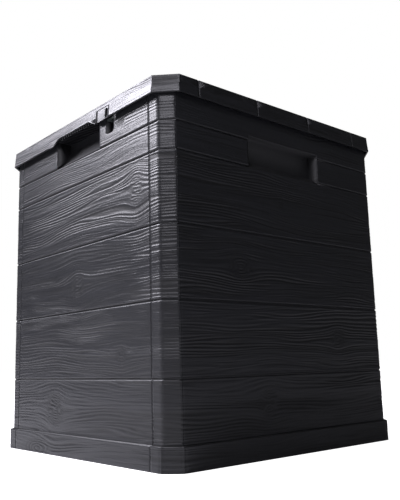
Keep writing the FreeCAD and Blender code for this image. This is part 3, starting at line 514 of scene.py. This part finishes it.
def mixColour(tree, factor, a, b):
    node = tree.nodes.new("ShaderNodeMix")
    node.data_type = "RGBA"
    tree.links.new(factor, node.inputs[0])
    for socket, value in ((node.inputs[6], a), (node.inputs[7], b)):
        if isinstance(value, tuple):
            socket.default_value = value
        else:
            tree.links.new(value, socket)
    return node.outputs[2]


# Fine grain from the piece's own grain map: a height and a tint.
def buildFineGrain():
    group, inside, outside = newGroup(
        "fineGrain", [("Map", "NodeSocketVector", None)],
        [("Height", "NodeSocketFloat"), ("Tint", "NodeSocketFloat")])
    stretch = addNode(group, "ShaderNodeMapping", inputs={"Scale": (22.0, 620.0, 1.0)})
    group.links.new(inside.outputs["Map"], stretch.inputs["Vector"])
    lines = addNode(group, "ShaderNodeTexNoise", inputs={"Scale": 1.0, "Detail": 3.0, "Roughness": 0.62})
    group.links.new(stretch.outputs[0], lines.inputs["Vector"])
    wide = addNode(group, "ShaderNodeMapping", inputs={"Scale": (6.0, 130.0, 1.0)})
    group.links.new(inside.outputs["Map"], wide.inputs["Vector"])
    bands = addNode(group, "ShaderNodeTexNoise", inputs={"Scale": 1.0, "Detail": 2.0, "Roughness": 0.5})
    group.links.new(wide.outputs[0], bands.inputs["Vector"])
    total = mathNode(group, "ADD", mathNode(group, "MULTIPLY", lines.outputs[0], 0.8),
                     mathNode(group, "MULTIPLY", bands.outputs[0], 0.2))
    group.links.new(total, outside.inputs["Height"])
    group.links.new(bands.outputs[0], outside.inputs["Tint"])
    return group


# Dust that settles on faces that look up and drifts with slow noise.
def buildDust():
    group, inside, outside = newGroup(
        "settledDust", [("Place", "NodeSocketVector", None), ("Facing", "NodeSocketVector", None)],
        [("Mask", "NodeSocketFloat")])
    split = addNode(group, "ShaderNodeSeparateXYZ")
    group.links.new(inside.outputs["Facing"], split.inputs[0])
    up = rangeNode(group, split.outputs["Z"], 0.3, 0.95, 0.0, 1.0)
    patches = addNode(group, "ShaderNodeTexNoise", inputs={"Scale": 9.0, "Detail": 5.0, "Roughness": 0.6})
    group.links.new(inside.outputs["Place"], patches.inputs["Vector"])
    patch = rangeNode(group, patches.outputs[0], 0.35, 0.7, 0.15, 1.0)
    group.links.new(mathNode(group, "MULTIPLY", up, patch), outside.inputs["Mask"])
    return group


# Slow stains and a fine speckle in the moulding, as two masks.
def buildMottle():
    group, inside, outside = newGroup(
        "mottle", [("Place", "NodeSocketVector", None)],
        [("Stain", "NodeSocketFloat"), ("Speckle", "NodeSocketFloat")])
    stain = addNode(group, "ShaderNodeTexNoise", inputs={"Scale": 5.0, "Detail": 4.0, "Roughness": 0.55})
    speckle = addNode(group, "ShaderNodeTexNoise", inputs={"Scale": 900.0, "Detail": 2.0, "Roughness": 0.5})
    for node in (stain, speckle):
        group.links.new(inside.outputs["Place"], node.inputs["Vector"])
    group.links.new(stain.outputs[0], outside.inputs["Stain"])
    group.links.new(speckle.outputs[0], outside.inputs["Speckle"])
    return group


# Edges rubbed lighter, broken up by slow noise.
def buildEdgeWear():
    group, inside, outside = newGroup(
        "edgeWear", [("Place", "NodeSocketVector", None), ("Width", "NodeSocketFloat", 0.001)],
        [("Mask", "NodeSocketFloat")])
    soft = addNode(group, "ShaderNodeBevel", samples=4)
    group.links.new(inside.outputs["Width"], soft.inputs["Radius"])
    hard = addNode(group, "ShaderNodeNewGeometry")
    match = addNode(group, "ShaderNodeVectorMath", operation="DOT_PRODUCT")
    group.links.new(soft.outputs[0], match.inputs[0])
    group.links.new(hard.outputs["Normal"], match.inputs[1])
    turn = rangeNode(group, mathNode(group, "SUBTRACT", 1.0, match.outputs["Value"]), 0.015, 0.16, 0.0, 1.0)
    patches = addNode(group, "ShaderNodeTexNoise", inputs={"Scale": 34.0, "Detail": 4.0, "Roughness": 0.65})
    group.links.new(inside.outputs["Place"], patches.inputs["Vector"])
    patch = rangeNode(group, patches.outputs[0], 0.36, 0.66, 0.1, 1.0)
    group.links.new(mathNode(group, "MULTIPLY", turn, patch), outside.inputs["Mask"])
    return group


fineGrain = buildFineGrain()
settledDust = buildDust()
mottle = buildMottle()
edgeWear = buildEdgeWear()


def placed(tree, group, links):
    node = addNode(tree, "ShaderNodeGroup", node_tree=group)
    for socket, source in links.items():
        tree.links.new(source, node.inputs[socket])
    return node


# Mixes a look's worn tint into a colour along the piece's edges.
def wornColour(tree, coords, colour, look):
    wear = placed(tree, edgeWear, {"Place": coords.outputs["Object"]})
    wear.inputs["Width"].default_value = look["wearWidth"]
    amount = mathNode(tree, "MULTIPLY", wear.outputs["Mask"], look["wearShare"])
    return mixColour(tree, amount, colour, look["worn"])


def dustMask(tree, coords):
    dust = placed(tree, settledDust, {"Place": coords.outputs["Object"], "Facing": coords.outputs["Normal"]})
    return dust.outputs["Mask"]


resinLook = {
    # Grain colours: the dark one is painted shade in the relief's valleys and the pale one a painted highlight
    # on its ridges, both also carrying the grain's own darker and paler tint.
    "valleyShadeAndTint": (0.006, 0.0062, 0.0072, 1),
    "ridgeHighlightAndTint": (0.017, 0.0176, 0.0205, 1),
    "dust": (0.12, 0.12, 0.115, 1),
    "roughLow": 0.23,
    "dustShare": 0.1,
    "worn": (0.055, 0.056, 0.06, 1),
    "wearWidth": 0.0008,
    "wearShare": 0.3,
    "bump": (0.5, 0.0006),
}


def grainedResin():
    material, tree, shader = newMaterial("grainedResin")
    coords = addNode(tree, "ShaderNodeTexCoord")
    uv = addNode(tree, "ShaderNodeUVMap", uv_map="grainMap")
    relief = addNode(tree, "ShaderNodeAttribute", attribute_name="relief")
    fine = placed(tree, fineGrain, {"Map": uv.outputs[0]})
    dust = dustMask(tree, coords)
    marks = placed(tree, mottle, {"Place": coords.outputs["Object"]})
    # Painted shade and highlight: the deeper the pressed relief, the darker the colour (painted shade in the
    # valleys, painted highlight on the ridges); the fine grain's tint adds the grain's own tone.
    deep = rangeNode(tree, relief.outputs["Fac"], 0.15, 0.9, 0.0, 1.0)
    ridgeHighlightAndTint = mathNode(tree, "SUBTRACT", mathNode(tree, "ADD", fine.outputs["Tint"], 0.35), deep, clamp=True)
    colour = mixColour(tree, ridgeHighlightAndTint, resinLook["valleyShadeAndTint"], resinLook["ridgeHighlightAndTint"])
    amount = mathNode(tree, "MULTIPLY", dust, resinLook["dustShare"])
    colour = mixColour(tree, amount, colour, resinLook["dust"])
    colour = wornColour(tree, coords, colour, resinLook)
    tree.links.new(colour, shader.inputs["Base Color"])
    rough = mathNode(tree, "ADD", mathNode(tree, "MULTIPLY", deep, 0.14),
                     mathNode(tree, "MULTIPLY", marks.outputs["Stain"], 0.2))
    rough = mathNode(tree, "ADD", rough, resinLook["roughLow"])
    tree.links.new(rough, shader.inputs["Roughness"])
    strength, distance = resinLook["bump"]
    bump = addNode(tree, "ShaderNodeBump", inputs={"Strength": strength, "Distance": distance})
    speckle = mathNode(tree, "MULTIPLY", marks.outputs["Speckle"], 0.2)
    height = mathNode(tree, "ADD", speckle, fine.outputs["Height"])
    tree.links.new(height, bump.inputs["Height"])
    tree.links.new(bump.outputs[0], shader.inputs["Normal"])
    return material


plainLook = {
    "dark": (0.006, 0.0063, 0.0073, 1),
    "pale": (0.013, 0.0134, 0.0152, 1),
    "dustShare": 0.18,
    "rough": (0.42, 0.6),
    "bump": (0.35, 0.0002),
    "metallic": 0,
    "worn": resinLook["worn"],
    "wearWidth": 0.0008,
    "wearShare": 0.3,
}
coatedLook = {
    "dark": (0.05, 0.062, 0.058, 1),
    "pale": (0.085, 0.1, 0.094, 1),
    "dustShare": 0,
    "rough": (0.32, 0.48),
    "bump": (0.3, 0.0001),
    "metallic": 0.35,
    "worn": (0.3, 0.3, 0.29, 1),
    "wearWidth": 0.0005,
    "wearShare": 0.7,
}
zincLook = {
    "dark": (0.36, 0.36, 0.35, 1),
    "pale": (0.6, 0.6, 0.6, 1),
    "dustShare": 0,
    "rough": (0.28, 0.45),
    "bump": (0.2, 0.0001),
    "metallic": 1,
    "worn": (0.75, 0.75, 0.75, 1),
    "wearWidth": 0.0004,
    "wearShare": 0.5,
}


# Stained colour and roughness, rubbed edges and a speckled bump; the resins also take dust.
def mottledMaterial(name, look):
    material, tree, shader = newMaterial(name)
    coords = addNode(tree, "ShaderNodeTexCoord")
    marks = placed(tree, mottle, {"Place": coords.outputs["Object"]})
    colour = mixColour(tree, marks.outputs["Stain"], look["dark"], look["pale"])
    if look["dustShare"]:
        amount = mathNode(tree, "MULTIPLY", dustMask(tree, coords), look["dustShare"])
        colour = mixColour(tree, amount, colour, resinLook["dust"])
    colour = wornColour(tree, coords, colour, look)
    tree.links.new(colour, shader.inputs["Base Color"])
    rough = rangeNode(tree, marks.outputs["Stain"], 0.3, 0.7, *look["rough"])
    tree.links.new(rough, shader.inputs["Roughness"])
    shader.inputs["Metallic"].default_value = look["metallic"]
    strength, distance = look["bump"]
    bump = addNode(tree, "ShaderNodeBump", inputs={"Strength": strength, "Distance": distance})
    tree.links.new(marks.outputs["Speckle"], bump.inputs["Height"])
    tree.links.new(bump.outputs[0], shader.inputs["Normal"])
    return material


grained = grainedResin()
moulded = mottledMaterial("mouldedResin", plainLook)
underResin = mottledMaterial("underResin", plainLook)
coated = mottledMaterial("coatedSteel", coatedLook)
zinc = mottledMaterial("zincSteel", zincLook)
print("stage: materials made")

bodyMaterials = {"plain_resin": underResin, "coated_steel": coated, "zinc_steel": zinc}
for part in frame["record"]["subparts"]:
    if part["material_slot"] in bodyMaterials:
        shown = frame["nodes"][part["node"]]
        shown.data.materials.clear()
        shown.data.materials.append(bodyMaterials[part["material_slot"]])

boxSizes = {
    "plinthStep": 5 * millimetre,
    "cornerCut": 20 * millimetre,
    "lidCut": 31 * millimetre,
    "lidDraft": 2.5 * millimetre,
}
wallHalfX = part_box("right_side_panel")[1].x - boxSizes["plinthStep"]
wallHalfY = -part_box("front_panel")[0].y - boxSizes["plinthStep"]
walls = wallCharts(wallHalfX, wallHalfY, boxSizes["cornerCut"], 0)

wallLook = {
    "reach": (-0.0014, 0.0065),
    "skin": (-0.003, 0.0065),
    "columnPitch": 0.028,
    "rowPitch": 0.014,
    "finePitch": 0.00105,
    "longPitch": 0.0036,
    "roundColumns": (0.0025, 0.005),
    "edgeRound": 12,
    "lean": 0.001,
    "fade": 0,
    "strength": {"wall": 1.0},
}
frontKnots = [
    (174, 408, 19, 27, 0.9),
    (1.5, 277, 26, 27, 0.8),
    (131.5, 159, 15, 15, 0.7),
    (-69.5, 77, 30, 33, 0.8),
    (-122, 8, 60, 22, 0.5),
]
sideKnots = [
    (480, 402, 11, 9, 0.7),
    (380, 290, 34, 24, 0.8),
    (610, 180, 22, 20, 0.75),
    (430, 84, 26, 26, 0.8),
]


def shifted(knots, shift):
    return [(u + shift, v, wide, tall, push) for u, v, wide, tall, push in knots]


perimeter = sum(c["length"] for c in walls) / millimetre
wallPieces = [
    ("frontPanelGrained", "front_panel", frontKnots),
    ("rightSideGrained", "right_side_panel", sideKnots),
    ("leftSideGrained", "left_side_panel", shifted(sideKnots, perimeter / 2)),
    ("rearPanelGrained", "rear_panel", shifted(frontKnots, perimeter / 2)),
]
for pieceName, nodeName, knots in wallPieces:
    grainedPiece(pieceName, nodeName, walls, "box", {**wallLook, "knots": knots})

lidLow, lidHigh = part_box("lid_shell")
lidCharts = wallCharts(lidHigh.x, -lidLow.y, boxSizes["lidCut"], 40)
rimPlanes = []
for chart in lidCharts:
    lean = chart["out"] * boxSizes["lidDraft"]
    rise = (Vector((0, 0, lidHigh.z - lidLow.z)) - lean).normalized()
    rimPlanes.append((chart["point"] - lean, chart["out"].copy()))
    chart["point"] = chart["point"] + Vector((0, 0, lidLow.z))
    chart["rise"] = rise
    chart["out"] = chart["run"].cross(rise)
lidCharts.append({"point": Vector((0, 0, lidHigh.z)), "run": Vector((1, 0, 0)), "rise": Vector((0, 1, 0)),
                  "out": Vector((0, 0, 1)), "start": -0.3, "length": 0.3, "planks": "top", "set": 60,
                  "rim": rimPlanes})
lidLook = {
    **wallLook,
    "reach": (-0.0014, 0.0004),
    "edgeRound": 0,
    "lean": 0.06,
    "fade": 2.2,
    "strength": {"wall": 1.25, "top": 1.0},
    "knots": [(-230, 120, 24, 20, 0.8), (-420, -130, 20, 24, 0.8), (-180, -235, 16, 12, 0.7)],
}
grainedPiece("lidGrained", "lid_shell", lidCharts, "lid", lidLook)


# Studio: a pale floor, a key softbox high at the front left, a weak fill and a dim room that looks white.
studio = {
    "keyPower": 265,
    "keyPlace": (-1.585, -1.676, 2.64),
    "keySize": (1.5, 2.32),
    "fillPower": 19,
    "fillPlace": (1.5, -1.85, 1.72),
    "fillSize": (0.8, 0.9),
    "roomLight": 0.055,
    "tint": (0.985, 0.968, 1.07),
    "floorReach": 30,
    "floorColour": (0.56, 0.56, 0.56, 1),
    "floorGlow": 1.1,
    "keyLift": 0.15,
}


def areaLight(name, place, target, size, power):
    data = bpy.data.lights.new(name, "AREA")
    data.shape = "RECTANGLE"
    data.size, data.size_y = size
    data.energy = power
    data.color = studio["tint"]
    light = bpy.data.objects.new(name, data)
    light.location = place
    light.rotation_euler = (Vector(target) - Vector(place)).to_track_quat("-Z", "Y").to_euler()
    bpy.context.scene.collection.objects.link(light)


def buildStudio():
    floorMesh = bpy.data.meshes.new("floor")
    bm = bmesh.new()
    bmesh.ops.create_grid(bm, x_segments=1, y_segments=1, size=studio["floorReach"])
    bm.to_mesh(floorMesh)
    bm.free()
    floor = bpy.data.objects.new("floor", floorMesh)
    bpy.context.scene.collection.objects.link(floor)
    material, tree, shader = newMaterial("paleFloor")
    shader.inputs["Base Color"].default_value = studio["floorColour"]
    shader.inputs["Roughness"].default_value = 0.8
    shader.inputs["Emission Color"].default_value = (1, 1, 1, 1)
    path = addNode(tree, "ShaderNodeLightPath")
    glow = mathNode(tree, "MULTIPLY", path.outputs["Is Camera Ray"], studio["floorGlow"])
    tree.links.new(glow, shader.inputs["Emission Strength"])
    floorMesh.materials.append(material)
    world = bpy.data.worlds.new("room")
    bpy.context.scene.world = world
    world.use_nodes = True
    tree = world.node_tree
    path = addNode(tree, "ShaderNodeLightPath")
    strength = rangeNode(tree, path.outputs["Is Camera Ray"], 0.0, 1.0, studio["roomLight"], 1.0)
    tree.links.new(strength, tree.nodes["Background"].inputs["Strength"])
    tree.nodes["Background"].inputs["Color"].default_value = (1, 1, 1, 1)
    centre = (cadLow + cadHigh) / 2
    raised = centre + Vector((0, 0, studio["keyLift"]))
    areaLight("key", studio["keyPlace"], raised, studio["keySize"], studio["keyPower"])
    areaLight("fill", studio["fillPlace"], centre, studio["fillSize"], studio["fillPower"])


buildStudio()

viewpoint = {
    "place": (0.9555, -0.8098, 0.1427),
    "forward": (-0.7432, 0.6460, 0.1740),
    "up": (0.1494, -0.0932, 0.9844),
    "lens": 46.8,
}


def placeCamera():
    data = bpy.data.cameras.new("camera")
    data.lens = viewpoint["lens"]
    data.sensor_width = 36
    data.clip_start = 0.01
    data.clip_end = 100
    camera = bpy.data.objects.new("camera", data)
    forward = Vector(viewpoint["forward"]).normalized()
    right = forward.cross(Vector(viewpoint["up"])).normalized()
    up = right.cross(forward)
    turn = Matrix((right, up, -forward)).transposed()
    camera.matrix_world = Matrix.Translation(viewpoint["place"]) @ turn.to_4x4()
    bpy.context.scene.collection.objects.link(camera)
    bpy.context.scene.camera = camera


placeCamera()
bpy.context.scene.view_settings.view_transform = "Standard"
